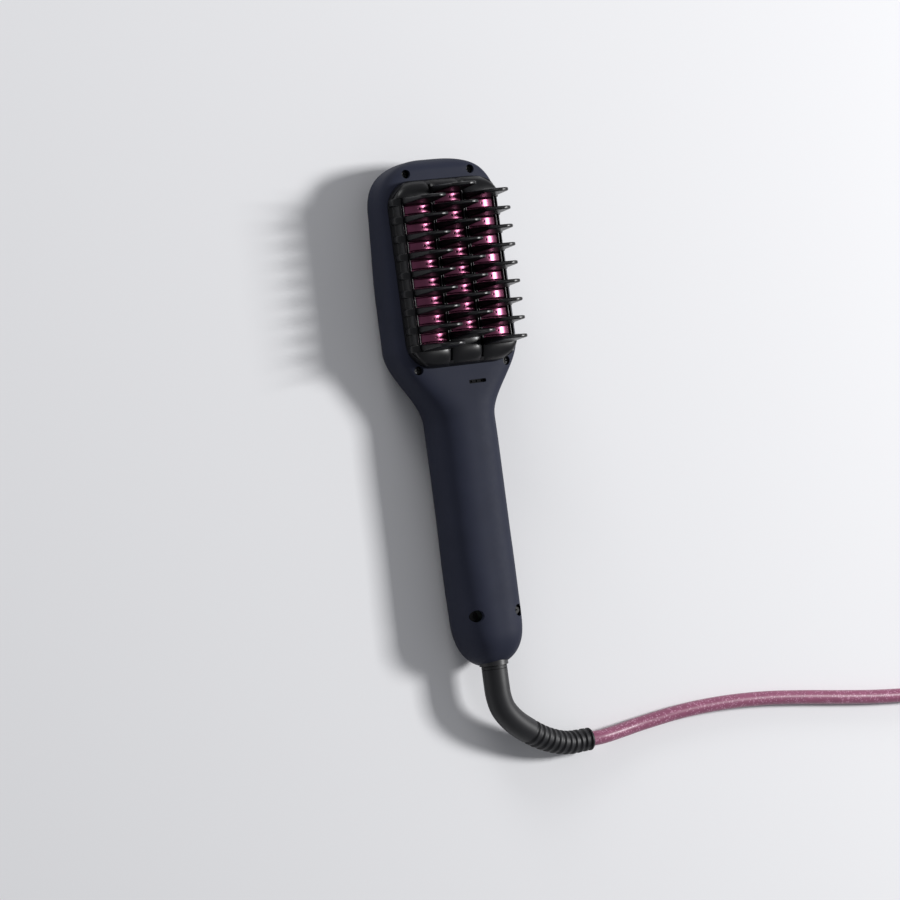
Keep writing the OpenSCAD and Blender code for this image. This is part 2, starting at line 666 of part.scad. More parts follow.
// ---- Water tank ----------------------------------------------------------

filler_y = top_y - 67;
filler_d = 9;
filler_lip = 2.2;                         // rim of the filler plug
tank_side = 3;                            // side wall of the tank
tank_lid = 1.6;                           // its wall towards the heaters
// The tank's floor climbs in steps: from, to (both from the top of the head), height above the table
tank_steps = [[tank_len - 4, 57, 2.9], [57.1, 39, 5.9], [39.1, 13, 7.9]];
module water_tank() {
    color([0.2, 0.23, 0.3]) difference() {
        union() {
            intersection() {
                half_body(-1);
                block([-tank_w / 2, tank_w / 2], [top_y - tank_len, top_y + 5], [0, tank_top_z]);
            }
            block([-tank_w / 2 - rail_w + seat, tank_w / 2 + rail_w - seat], [top_y - tank_len + 2, top_y - 20], rail_z);
        }
        for (t = tank_steps) block([tank_side - tank_w / 2, tank_w / 2 - tank_side],
            [top_y - t[0], top_y - t[1]], [t[2], tank_top_z - tank_lid]);
        shaft(0, socket_z, valve_d + 2 * slip, top_y - tank_len - 1, top_y - tank_len + 5);
        shaft(0, socket_z, valve_d + 3, top_y - tank_len - 1, top_y - tank_len + 1.2);
        post(0, filler_y, filler_d + 2 * slip, -1, 4);
        post(0, filler_y, filler_d + 2 * filler_lip, -1, 1.5);
    }
}
module tank_plug() {
    color("gray") {
        post(0, filler_y, filler_d, 0.8, 4.2);
        post(0, filler_y, filler_d + 2 * (filler_lip - seat), 0.3, 1.4);
    }
}

// ---- Swivel --------------------------------------------------------------

collar_y = bulkhead_y[1] + 3.6;
module swivel_bushing() {
    color("white") difference() {
        union() {
            shaft(0, axle_z, bushing_d, end_y + 0.4, bulkhead_y[1] + 2);
            shaft(0, axle_z, bushing_d + 4, bulkhead_y[1] + 0.1, bulkhead_y[1] + 2);
        }
        shaft(0, axle_z, swivel_d + 2 * slip, end_y - 5, 0);
    }
}
module swivel_barrel() {
    color("black") difference() {
        union() {
            shaft(0, axle_z, relief_d, end_y - flange_l, end_y);
            shaft(0, axle_z, swivel_d, end_y - 0.5, collar_y);
            shaft(0, axle_z, swivel_d + 2.6, bulkhead_y[1] + 2.2, collar_y);
            shaft(0, axle_z, 8, collar_y - 0.5, collar_y + 10);
        }
        shaft(0, axle_z, 3, end_y - 3, collar_y + 7);
    }
}
ring_y = [collar_y + 2, collar_y + 6];
module slip_rings() {
    color("gold") for (y = ring_y) difference() {
        shaft(0, axle_z, 11, y, y + 2);
        shaft(0, axle_z, 8 + 2 * slip, y - 1, y + 3);
    }
}
module contact_springs() {
    color("gold") for (y = ring_y) {
        block([-5, -3], [y + 0.4, y + 1.6], [pcb_top, 13.2]);
        block([-5, 3], [y + 0.4, y + 1.6], [13.2, 14.2]);
    }
}

// Route of the strain relief, from the swivel down to the table
relief_route = [[0, -131.5, 20], [0, -138.5, 20], [0.5, -146, 19.6], [3, -153, 18.6], [9, -160, 17],
    [18, -166.5, 14.6], [28, -172, 12], [38, -175.6, 9.6], [46, -177, 7.8], [52, -177, 7], [58, -177, 7]];
relief_step = 6;
relief_low = 0.82;                        // root of a rib, as a share of the sleeve
module strain_relief() {
    p = bend(relief_route, relief_step);
    n = len(p) - 1;
    from = n - 4 * relief_ribs;
    keep = [for (i = [0:n]) if (i >= from || i % 3 == 0) i];
    r = [for (i = keep) i < from ? relief_d / 2
        : ((i - from) % 4 < 2 ? relief_d / 2 * relief_low : relief_d / 2 * 1.02) * (1 - 0.1 * (i - from) / (n - from))];
    color(charcoal) tube([for (i = keep) p[i]], r, 12);
}

// Route of the lead, lying on the table past the end of the strain relief
table_z = cord_d / 2;
lead_route = [[58, -177, 7], [66, -177, 7], [80, -175.6, 5], [93, -174, table_z], [118, -171.5, table_z],
    [144, -171, table_z], [170, -172.5, table_z], [195, -175.6, table_z], [221, -179.5, table_z],
    [247, -183, table_z], [275, -185.4, table_z], [310, -186, table_z], [334, -186, table_z], [342, -186, table_z]];
lead_end = lead_route[len(lead_route) - 1];
module cord_lead() {
    color(cord_pink) tube(bend(lead_route, 2), cord_d / 2, 10);
}

// Coil of the rest of the cord: two layers that spiral in and out again.
// u counts turns; the cord climbs a layer in the half turn where the spiral reverses.
coil_lead = 8;                            // straight stretch at either end of the coil
coil_centre = [lead_end[0] + coil_lead, lead_end[1] + coil_r];
coil_pitch = cord_d + 0.8;
coil_rise = cord_d + 0.8;
coil_turns = 2.75;                        // turns of one layer
coil_bulge = 1.5;                         // how far the climb swings inwards
coil_steps = 24;
function coil_radius(u) = u <= coil_turns ? coil_r - coil_pitch * u
    : u < coil_turns + 0.5 ? coil_r - coil_pitch * coil_turns - coil_bulge * sin(360 * (u - coil_turns))
    : coil_r - coil_pitch * coil_turns + coil_pitch * (u - coil_turns - 0.5);
function coil_z(u) = table_z + coil_rise * min(max((u - coil_turns) / 0.5, 0), 1);
function coil_place(u) = let (r = coil_radius(u), a = 360 * u - 90)
    [coil_centre[0] + r * cos(a), coil_centre[1] + r * sin(a), coil_z(u)];
coil_end_u = 2 * coil_turns + 0.5;
tail_start = coil_place(coil_end_u) + [coil_lead, 0, 0];
coil_path = concat([lead_end], [for (i = [0:coil_end_u * coil_steps]) coil_place(i / coil_steps)], [tail_start]);
// Least distance between stretches that are over a third of a turn apart, less the cord
coil_gap = min([for (i = [0:len(coil_path) - 1]) for (j = [i + 8:len(coil_path) - 1])
    norm(coil_path[i] - coil_path[j])]) - cord_d;
echo(coil_gap = coil_gap);
module cord_coil() {
    color(cord_pink) tube(coil_path, cord_d / 2, 6);
}

tail_drop = tail_start[2] - plug_h / 2 - 0.2;   // from the coil's upper layer down to the plug
tail_route = [for (p = [[0, 0], [8, 0], [20, 0.35], [34, 0.8], [48, 1], [56, 1]])
    tail_start + [p[0], 0, -p[1] * tail_drop]];
module cord_tail() {
    color(cord_pink) tube(bend(tail_route, 2), cord_d / 2, 10);
}

plug_start = tail_route[len(tail_route) - 1];
plug_l = 38;
plug_neck = 11;                           // diameter of the plug where the cord enters
pin_gap = 18.6;
pin_tip = 1;                              // chamfered end of a pin
module plug_body() {
    color(charcoal) hull() {
        for (p = [[0, plug_neck, plug_neck], [14, plug_neck + 2, plug_neck + 0.6], [24, plug_w, plug_h],
                [plug_l - thin, plug_w - 1, plug_h - 0.6]])
            translate(plug_start + [p[0], 0, 0]) rotate([0, 90, 0]) linear_extrude(thin) plate(p[2], p[1], 5, $fn = 24);
    }
}
module plug_pins() {
    color("silver") for (y = [-1, 1]) translate(plug_start + [plug_l, y * pin_gap / 2, 0]) rotate([0, 90, 0]) {
        cylinder(d = pin_d, h = pin_len - pin_tip);
        translate([0, 0, pin_len - pin_tip]) cylinder(d1 = pin_d, d2 = pin_d - 1.4, h = pin_tip);
    }
}

// Wires from the board to the heaters
wire_d = 1.2;
wire_x = 10;
// Places of a wire: outwards from wire_x, along from the nozzle, height
wire_route = [for (p = [[0, -19.6, 15.5], [0, -11.6, 16.5], [0, -1.6, 19.6], [0, 3.4, 20.4], [0, 4.8, 22],
    [0, 7.4, 22.9], [2.2, 10.4, 22.9]]) [wire_x + p[0], nozzle_y + p[1], p[2]]];
module internal_wiring() {
    color("red") for (x = [0, 1]) mirror([x, 0, 0]) tube(bend(wire_route, 2), wire_d / 2, 6);
}

front_shell();
back_shell();
bristle_frame();
comb_left();
comb_centre();
comb_right();
heater_plate_left();
heater_plate_centre();
heater_plate_right();
ptc_heaters();
steam_chamber();
heat_shield();
thermal_fuse();
ntc_sensor();
tank_valve();
valve_seal();
water_pump();
inlet_tube();
outlet_tube();
main_pcb();
pcb_components();
tact_switches();
display_module();
display_lens();
ion_generator();
ion_outlet();
head_screws();
handle_screws();
pcb_screws();
swivel_bushing();
contact_springs();
internal_wiring();
swivel_barrel();
slip_rings();
strain_relief();
cord_lead();
cord_coil();
cord_tail();
plug_body();
plug_pins();
water_tank();
tank_plug();
power_button();
temp_up_button();
temp_down_button();
steam_button();
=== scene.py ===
"""Steam hair straightener brush on its back, with its cord laid out and coiled.

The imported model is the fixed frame. Every surface here is worked out with numpy in the frame's axes, in
millimetres, and written to the mesh in metres: X across the brush, Y towards the top of the head, Z up.
"""

import bmesh
import bpy
import numpy as np
from mathutils import Matrix


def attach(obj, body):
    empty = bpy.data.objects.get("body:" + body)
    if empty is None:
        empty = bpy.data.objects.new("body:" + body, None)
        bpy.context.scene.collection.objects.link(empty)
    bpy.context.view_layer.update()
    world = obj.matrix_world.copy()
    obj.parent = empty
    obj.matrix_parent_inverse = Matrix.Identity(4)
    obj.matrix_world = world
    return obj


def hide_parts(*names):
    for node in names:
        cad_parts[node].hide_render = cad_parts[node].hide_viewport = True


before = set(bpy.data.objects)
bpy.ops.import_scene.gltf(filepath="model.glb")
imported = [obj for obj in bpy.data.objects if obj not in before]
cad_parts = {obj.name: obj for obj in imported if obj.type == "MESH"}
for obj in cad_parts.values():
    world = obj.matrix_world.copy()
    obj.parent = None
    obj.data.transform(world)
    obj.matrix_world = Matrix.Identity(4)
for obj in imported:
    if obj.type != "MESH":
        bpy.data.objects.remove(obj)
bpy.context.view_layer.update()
MM = 0.001

# ---- Sizes of the brush, in millimetres, as in the part's source ----------
BODY_LEN = 262.0
HEAD_W, HANDLE_W = 70.5, 36.0
NECK_START, NECK_END = 96.0, 135.0
PARTING_Z = 16.0
FACE_Z = 30.0
WALL = 2.2
TOP_Y = 131.95
END_Y = TOP_Y - BODY_LEN
BED_W, BED_LEN, BED_R, BED_RISE = 62.0, 96.0, 14.0, 7.0
BED_START = 11.3  # from the top of the head
BED_Y = TOP_Y - BED_START - BED_LEN / 2
BED_TOP = FACE_Z + BED_RISE
END_SLOPE = 9.0
WINDOW_W, WINDOW_L, WINDOW_R = 55.0, 90.0, 11.0
COLUMN_PITCH, FIN_PITCH, FIN_COUNT = 18.0, 9.35, 9
FIN_H, FIN_ROOT, FIN_TIP, FIN_W, FIN_TIP_W = 20.5, 4.3, 1.7, 17.4, 14.0
FIN_SPAN = (FIN_COUNT - 1) * FIN_PITCH
STRIP_W = 15.6
CORD_D = 7.6
RELIEF_D = 13.3
AXLE_Z = 20.0
COLUMNS = {"left": -1, "centre": 0, "right": 1}


# ---- Camera ----------------------------------------------------------------
def photo_camera():
    """Camera of the photograph: it looks down on the brush from its left side, rolled a little.

    turn is the angle between the bristles' direction and the line of sight, and roll the lean of the brush in
    the picture. For a picture 900 pixels wide, focal is the focal length and beside and above are the aim's
    place from the picture's middle, in pixels, and scale is the pixels to a millimetre."""
    turn, roll, focal, scale = np.radians(28.0), np.radians(7.5), 3403.0, 1.948
    beside, above = 8.0, 37.2
    across = np.array([np.cos(turn), 0, np.sin(turn)])
    upright = np.array([0, 1.0, 0])
    look = np.array([np.sin(turn), 0, -np.cos(turn)])
    up = upright * np.cos(roll) + across * np.sin(roll)
    right = across * np.cos(roll) - upright * np.sin(roll)
    aim = np.array([0, 0.95, 17.0])
    place = aim - (look * focal + right * beside + up * above) / scale
    data = bpy.data.cameras.new("photo_camera")
    data.sensor_width = 36.0
    data.lens = 36.0 * focal / 900.0
    data.clip_end = 20.0
    camera = bpy.data.objects.new("photo_camera", data)
    bpy.context.scene.collection.objects.link(camera)
    turned = Matrix([list(v) for v in np.array([right, up, -look]).T]).to_4x4()
    turned.translation = place * MM
    camera.matrix_world = turned
    bpy.context.scene.camera = camera
    return right, up, look


RIGHT, UP, LOOK = photo_camera()


# ---- Meshes from arrays ----------------------------------------------------
def new_piece(name, points, faces, material=None, smooth_angle=35.0, uv=None):
    """An object from points in millimetres and lists of corners; edges sharper than smooth_angle stay sharp."""
    mesh = bpy.data.meshes.new(name)
    mesh.from_pydata((np.asarray(points, float) * MM).tolist(), [], [list(f) for f in faces])
    if uv is not None:
        layer = mesh.uv_layers.new(name="along")
        corners = np.zeros(len(mesh.loops), np.int32)
        mesh.loops.foreach_get("vertex_index", corners)
        layer.data.foreach_set("uv", np.asarray(uv, np.float32)[corners].ravel())
    mesh.update()
    mesh.shade_smooth()
    mesh.set_sharp_from_angle(angle=np.radians(smooth_angle))
    piece = bpy.data.objects.new(name, mesh)
    bpy.context.scene.collection.objects.link(piece)
    if material is not None:
        mesh.materials.append(material)
    return piece


def tube_faces(rings, sides, start=0):
    """Quads between successive rings of sides points each, and one polygon on each end, all facing outwards
    for rings that run anticlockwise round their way of travel."""
    j, i = np.meshgrid(np.arange(rings - 1), np.arange(sides), indexing="ij")
    k = (i + 1) % sides
    quads = np.stack([j * sides + i, j * sides + k, (j + 1) * sides + k, (j + 1) * sides + i], -1) + start
    first = (np.arange(sides)[::-1] + start).tolist()
    last = (np.arange(sides) + (rings - 1) * sides + start).tolist()
    return quads.reshape(-1, 4).tolist() + [first, last]


def loop_faces(rings, sides):
    """Quads of a surface that closes on itself both ways, like a picture frame."""
    j, i = np.meshgrid(np.arange(rings), np.arange(sides), indexing="ij")
    k, m = (i + 1) % sides, (j + 1) % rings
    return np.stack([j * sides + i, j * sides + k, m * sides + k, m * sides + i], -1).reshape(-1, 4).tolist()


def gather(parts):
    """Points and faces of several closed surfaces, as one."""
    points, faces, count = [], [], 0
    for p, f in parts:
        points.append(np.asarray(p).reshape(-1, 3))
        faces += [[c + count for c in face] for face in f]
        count += len(points[-1])
    return np.concatenate(points), faces


def turned_out(piece):
    """The piece with all its faces pointing outwards."""
    net = bmesh.new()
    net.from_mesh(piece.data)
    bmesh.ops.remove_doubles(net, verts=net.verts, dist=1e-7)
    bmesh.ops.recalc_face_normals(net, faces=net.faces)
    net.to_mesh(piece.data)
    net.free()
    return piece


def carve(piece, cutters, smooth_angle=35.0):
    """The piece with each cutter's solid taken out of it."""
    for solid in cutters:
        turned_out(solid)
        cut = piece.modifiers.new("cut", "BOOLEAN")
        cut.operation = "DIFFERENCE"
        cut.solver = "EXACT"
        cut.object = solid
    bpy.context.view_layer.update()
    done = bpy.data.meshes.new_from_object(piece.evaluated_get(bpy.context.evaluated_depsgraph_get()))
    piece.modifiers.clear()
    old = piece.data
    piece.data = done
    bpy.data.meshes.remove(old)
    for solid in cutters:
        bpy.data.objects.remove(solid)
    done.shade_smooth()
    done.set_sharp_from_angle(angle=np.radians(smooth_angle))
    return piece


# ---- Outlines --------------------------------------------------------------
def ease(a, b, s):
    """Smooth step: 0 up to a, 1 from b on."""
    t = np.clip((s - a) / (b - a), 0, 1)
    return t * t * (3 - 2 * t)


def round_off(d, e, n):
    """Rounding of an end: 0 at the end, 1 from the length e on, squarer with a higher n."""
    return (1 - np.clip(1 - d / e, 0, 1) ** n) ** (1 / n)


def superpower(v, p):
    """Power of the size of v that keeps its sign, as a superellipse takes of the sine and cosine."""
    return np.sign(v) * np.abs(v) ** p


def body_sizes(s):
    """Half width, height of the face above and depth of the back below the parting plane, and the powers of
    the two superellipses, at the distance s from the top of the head.

    Each is a level value with smooth steps at the neck and the grip, times a rounding at either end."""
    neck = ease(NECK_START, NECK_END, s)
    ends = round_off(s, 26.0, 2.5) * round_off(BODY_LEN - s, 25.0, 2.3)
    width = (HEAD_W / 2 + (HANDLE_W - HEAD_W) / 2 * neck - (1 - ease(0, 70, s))
             - 0.9 * ease(200, 250, s)) * ends
    front = (FACE_Z - PARTING_Z + 3.0 * ease(NECK_START + 4, NECK_END + 15, s) + 2.2 * ease(190, 250, s)) \
        * round_off(s, 7.0, 2.2) * round_off(BODY_LEN - s, 18.0, 2.2)
    back = (PARTING_Z + 0.2 - 6.0 * (1 - ease(20, 72, s)) - 2.4 * (ease(110, 150, s) - ease(180, 226, s))) \
        * round_off(s, 10.0, 2.2) * round_off(BODY_LEN - s, 24.0, 2.0)
    return width, front, back, 6 - 3.2 * neck, 3.4 - 0.9 * neck


def rounded_rectangle(width, length, r, steps=10):
    """Points of a rectangle with corner radius r, anticlockwise from above."""
    a = np.linspace(0, np.pi / 2, steps + 1)
    x, y = width / 2 - r, length / 2 - r
    corners = [((x, y), 0), ((-x, y), 1), ((-x, -y), 2), ((x, -y), 3)]
    return np.concatenate([np.stack([c[0] + r * np.cos(a + k * np.pi / 2),
                                     c[1] + r * np.sin(a + k * np.pi / 2)], -1) for c, k in corners])


def prism(outline, z0, z1, x=0.0, y=0.0):
    """Solid of an outline of X and Y between two heights."""
    n = len(outline)
    base = np.column_stack([outline + [x, y], np.full(n, z0)])
    return np.concatenate([base, base + [0, 0, z1 - z0]]), tube_faces(2, n)


def circle(d, steps=48):
    """Points of a circle of diameter d about the origin, anticlockwise."""
    a = np.arange(steps) * 2 * np.pi / steps
    return np.stack([np.cos(a), np.sin(a)], -1) * d / 2


def cutter(shape):
    """A solid for carve() from its points and faces."""
    return new_piece("cutter", *shape)


def half_body(side, inset, skirt, arcs, stations):
    """Solid half of the body: superellipse arcs of the body's sizes less inset, set along Y and closed under
    the parting plane by skirt. side is +1 for the face and -1 for the back."""
    t = np.linspace(0, np.pi, stations)
    reach = BODY_LEN - 2 * inset
    s = inset + reach * (1 - np.cos(t)) / 2
    s[0] += 0.02
    s[-1] -= 0.02
    width, front, back, nf, nb = body_sizes(np.clip(s, inset * 0.6 + 0.02, BODY_LEN - inset * 0.6 - 0.02))
    w = np.maximum(width - inset, 0.2)[:, None]
    h = np.maximum((front if side > 0 else back) - inset, 0.2)[:, None]
    n = (nf if side > 0 else nb)[:, None]
    a = np.linspace(0, np.pi, arcs)
    x = w * superpower(np.cos(a), 2 / n)
    z = h * superpower(np.clip(np.sin(a), 0, 1), 2 / n)
    x = np.concatenate([x, x[:, -1:], x[:, :1]], 1)
    z = np.concatenate([z, np.full((stations, 2), -skirt)], 1)
    y = np.broadcast_to((TOP_Y - s)[:, None], x.shape)
    points = np.stack([x, y, PARTING_Z + side * z], -1)
    return points.reshape(-1, 3), tube_faces(stations, arcs + 2)


# ---- Materials -------------------------------------------------------------
def material(name, color, roughness, metallic=0.0, coat=0.0, coat_roughness=0.1, sheen=0.0,
             mottle=0.08, mottle_size=90.0, grain=0.0, grain_size=2500.0, rough_spread=0.06, specular=0.5):
    """Moulded or coated surface: its colour wanders a little with one noise, its roughness with another, and
    a fine noise raises a grain. Constants sit on the shader itself."""
    made = bpy.data.materials.new(name)
    made.use_nodes = True
    nodes, links = made.node_tree.nodes, made.node_tree.links
    shader = nodes["Principled BSDF"]
    shader.inputs["Metallic"].default_value = metallic
    shader.inputs["Coat Weight"].default_value = coat
    shader.inputs["Coat Roughness"].default_value = coat_roughness
    shader.inputs["Sheen Weight"].default_value = sheen
    shader.inputs["Specular IOR Level"].default_value = specular
    place = nodes.new("ShaderNodeTexCoord")

    def noise(size, detail):
        """Value of a noise of the given size and detail on the object's own axes."""
        node = nodes.new("ShaderNodeTexNoise")
        node.inputs["Scale"].default_value = size
        node.inputs["Detail"].default_value = detail
        links.new(place.outputs["Object"], node.inputs["Vector"])
        return node.outputs["Fac"]

    ramp = nodes.new("ShaderNodeValToRGB")
    low = [c * (1 - mottle) for c in color]
    high = [min(c * (1 + mottle), 1) for c in color]
    ramp.color_ramp.elements[0].position = 0.3
    ramp.color_ramp.elements[0].color = (*low, 1)
    ramp.color_ramp.elements[1].position = 0.7
    ramp.color_ramp.elements[1].color = (*high, 1)
    links.new(noise(mottle_size, 3.0), ramp.inputs["Fac"])
    links.new(ramp.outputs["Color"], shader.inputs["Base Color"])
    spread = nodes.new("ShaderNodeMapRange")
    spread.inputs["To Min"].default_value = max(roughness - rough_spread, 0.02)
    spread.inputs["To Max"].default_value = min(roughness + rough_spread, 1)
    links.new(noise(mottle_size * 4, 4.0), spread.inputs["Value"])
    links.new(spread.outputs["Result"], shader.inputs["Roughness"])
    if grain:
        bump = nodes.new("ShaderNodeBump")
        bump.inputs["Strength"].default_value = grain
        bump.inputs["Distance"].default_value = 0.0001
        links.new(noise(grain_size, 2.0), bump.inputs["Height"])
        links.new(bump.outputs["Normal"], shader.inputs["Normal"])
    return made


def cord_material():
    """Glossy pink sleeve with fine painted glints: small cells of a Voronoi pattern get a lighter pink base
    colour, a painted stand-in for the sparkle of light on the sleeve.
    """
    made = material("pink_cord", (0.245, 0.077, 0.137), 0.42, coat=0.08, coat_roughness=0.2, mottle=0.1,
                    mottle_size=220.0, grain=0.1, specular=0.35)
    nodes, links = made.node_tree.nodes, made.node_tree.links
    shader = nodes["Principled BSDF"]
    place = nodes["Texture Coordinate"]
    cells = nodes.new("ShaderNodeTexVoronoi")
    cells.inputs["Scale"].default_value = 1500.0
    links.new(place.outputs["Object"], cells.inputs["Vector"])
    split = nodes.new("ShaderNodeSeparateColor")
    links.new(cells.outputs["Color"], split.inputs["Color"])
    # Painted glints: cells past the threshold take a lighter pink, painted where the sleeve's sparkle of light
    # would be.
    painted_glint = nodes.new("ShaderNodeMath")
    painted_glint.operation = "GREATER_THAN"
    painted_glint.inputs[1].default_value = 0.86
    links.new(split.outputs["Red"], painted_glint.inputs[0])
    mix = nodes.new("ShaderNodeMix")
    mix.data_type = "RGBA"
    colour = shader.inputs["Base Color"].links[0].from_socket
    links.new(painted_glint.outputs[0], mix.inputs["Factor"])
    links.new(colour, mix.inputs["A"])
    # Lighter pink of the painted glints.
    mix.inputs["B"].default_value = (0.42, 0.20, 0.29, 1)
    links.new(mix.outputs["Result"], shader.inputs["Base Color"])
    return made


NAVY = material("soft_touch_navy", (0.023, 0.026, 0.043), 0.58, mottle=0.05, grain=0.12, specular=0.1)
GLOSS_BLACK = material("gloss_black", (0.005, 0.005, 0.006), 0.34, coat=0.06, coat_roughness=0.15,
                       mottle=0.15, specular=0.3)
ROSE = material("rose_coating", (0.20, 0.055, 0.108), 0.3, metallic=0.9, coat=0.1, coat_roughness=0.15,
                mottle=0.12, mottle_size=160.0)
RUBBER = material("charcoal_rubber", (0.013, 0.013, 0.015), 0.5, mottle=0.12, grain=0.2, specular=0.4)
PINK = cord_material()
BLACK_PLASTIC = material("black_plastic", (0.016, 0.016, 0.018), 0.42, mottle=0.1, grain=0.15)
MATT_BLACK = material("matt_black", (0.004, 0.004, 0.005), 0.7, mottle=0.1, grain=0.1, specular=0.1)
BLACK_STEEL = material("black_steel", (0.03, 0.03, 0.031), 0.38, metallic=0.9, mottle=0.2)
STEEL = material("steel", (0.55, 0.55, 0.56), 0.3, metallic=1.0)
NICKEL = material("nickel", (0.72, 0.71, 0.69), 0.16, metallic=1.0, mottle=0.03)
BRASS = material("brass", (0.72, 0.50, 0.20), 0.25, metallic=1.0)
ALUMINIUM = material("aluminium", (0.6, 0.6, 0.62), 0.35, metallic=1.0, grain=0.2)
WHITE_PLASTIC = material("white_plastic", (0.72, 0.72, 0.70), 0.4)
BOARD = material("board_green", (0.01, 0.09, 0.04), 0.35, coat=0.3)
MICA = material("mica", (0.45, 0.38, 0.24), 0.6, mottle=0.2)
CERAMIC = material("ceramic", (0.68, 0.68, 0.65), 0.45)
SEAL = material("seal_rubber", (0.35, 0.08, 0.03), 0.5)
TANK = material("tank_plastic", (0.045, 0.051, 0.078), 0.3, coat=0.3, mottle=0.04)
LENS = material("lens_black", (0.006, 0.006, 0.008), 0.08, coat=0.8, coat_roughness=0.04)

NODE_FINISH = {
    "ptc_heaters": CERAMIC, "steam_chamber": ALUMINIUM, "heat_shield": MICA, "thermal_fuse": CERAMIC,
    "ntc_sensor": BLACK_PLASTIC, "tank_valve": WHITE_PLASTIC, "valve_seal": SEAL,
    "water_pump": BLACK_PLASTIC, "inlet_tube": WHITE_PLASTIC, "outlet_tube": WHITE_PLASTIC, "main_pcb": BOARD,
    "pcb_components": BLACK_PLASTIC, "tact_switches": BLACK_PLASTIC, "display_module": BLACK_PLASTIC,
    "display_lens": LENS, "ion_generator": BLACK_PLASTIC, "ion_outlet": MATT_BLACK,
    "head_screws": BLACK_STEEL, "handle_screws": BLACK_STEEL, "pcb_screws": STEEL,
    "swivel_bushing": BLACK_PLASTIC, "contact_springs": BRASS, "internal_wiring": SEAL,
    "swivel_barrel": RUBBER, "slip_rings": BRASS, "plug_pins": NICKEL,
}


def finish_nodes():
    """Every CAD piece that stays in view gets the material of its kind."""
    for node, finish in NODE_FINISH.items():
        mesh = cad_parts[node].data
        mesh.materials.clear()
        mesh.materials.append(finish)


# ---- Cord ------------------------------------------------------------------
RELIEF_ROUTE = [(0, -131.5, 20), (0, -138.5, 20), (0.5, -146, 19.6), (3, -153, 18.6), (9, -160, 17),
                (18, -166.5, 14.6), (28, -172, 12), (38, -175.6, 9.6), (46, -177, 7.8), (52, -177, 7),
                (58, -177, 7)]
TABLE_Z = CORD_D / 2
LEAD_ROUTE = [(58, -177, 7), (66, -177, 7), (80, -175.6, 5), (93, -174, TABLE_Z), (118, -171.5, TABLE_Z),
              (144, -171, TABLE_Z), (170, -172.5, TABLE_Z), (195, -175.6, TABLE_Z), (221, -179.5, TABLE_Z),
              (247, -183, TABLE_Z), (275, -185.4, TABLE_Z), (310, -186, TABLE_Z), (334, -186, TABLE_Z),
              (342, -186, TABLE_Z)]
COIL_X, COIL_Y, COIL_R, COIL_TURNS, COIL_BULGE = 350.0, -132.0, 54.0, 2.75, 1.5
PLUG_X, PLUG_Y, PLUG_Z = 414.0, -186.0, 7.0
COIL_PITCH = COIL_RISE = CORD_D + 0.8
COIL_END = 2 * COIL_TURNS + 0.5


def bend(route, step):
    """Catmull-Rom curve through the route's points, step places to a stretch."""
    p = np.array(route, float)
    a = p[np.maximum(np.arange(len(p) - 1) - 1, 0)][:, None]
    b, c = p[:-1][:, None], p[1:][:, None]
    d = p[np.minimum(np.arange(len(p) - 1) + 2, len(p) - 1)][:, None]
    t = (np.arange(step) / step)[None, :, None]
    curve = (2 * b + (c - a) * t + (2 * a - 5 * b + 4 * c - d) * t ** 2 + (3 * b - a - 3 * c + d) * t ** 3) / 2
    return np.concatenate([curve.reshape(-1, 3), p[-1:]])


def coil_places(steps):
    """The coil: the radius shrinks by one pitch a turn, swings inwards by a half sine while the cord climbs a
    layer in half a turn, and grows again."""
    u = np.arange(int(COIL_END * steps) + 1) / steps
    inner = COIL_R - COIL_PITCH * COIL_TURNS
    climb = np.clip((u - COIL_TURNS) / 0.5, 0, 1)
    r = np.where(u <= COIL_TURNS, COIL_R - COIL_PITCH * u, inner - COIL_BULGE * np.sin(np.pi * climb)
                 + COIL_PITCH * np.maximum(u - COIL_TURNS - 0.5, 0))
    a = 2 * np.pi * u - np.pi / 2
    return np.stack([COIL_X + r * np.cos(a), COIL_Y + r * np.sin(a), TABLE_Z + COIL_RISE * climb], -1)


def sweep(path, radius, sides):
    """A tube: a circle of the given radius carried along the path, square to it, with an upright seam."""
    p = np.asarray(path, float)
    t = np.gradient(p, axis=0)
    t /= np.linalg.norm(t, axis=1)[:, None]
    u = np.cross(t, [0, 0, 1.0])
    u /= np.linalg.norm(u, axis=1)[:, None]
    v = np.cross(t, u)
    a = (np.arange(sides) + 0.5) * 2 * np.pi / sides
    r = np.broadcast_to(radius, len(p))[:, None, None]
    rings = p[:, None] + r * (np.cos(a)[None, :, None] * u[:, None] + np.sin(a)[None, :, None] * v[:, None])
    return rings.reshape(-1, 3), tube_faces(len(p), sides)


def mains_cord():
    """The free cord, from the strain relief over the table, through the coil and to the plug."""
    coil = coil_places(48)
    straight = np.array([8.0, 0, 0])  # before and after the coil
    coil_end = coil[-1] + straight
    drop = coil_end[2] - PLUG_Z
    tail = bend([coil_end + [x, 0, -share * drop] for x, share in
                 ((0, 0), (8, 0), (20, 0.35), (34, 0.8), (48, 1), (56, 1))], 6)
    path = np.concatenate([bend(LEAD_ROUTE, 6)[:-1], coil[:1] - straight, coil, tail])
    path = path[np.concatenate([[True], np.linalg.norm(np.diff(path, axis=0), axis=1) > 0.01])]
    piece = new_piece("mains_cord", *sweep(path, CORD_D / 2, 20), PINK)
    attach(turned_out(piece), "cord_set")
    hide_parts("cord_lead", "cord_coil", "cord_tail")
    return piece, path


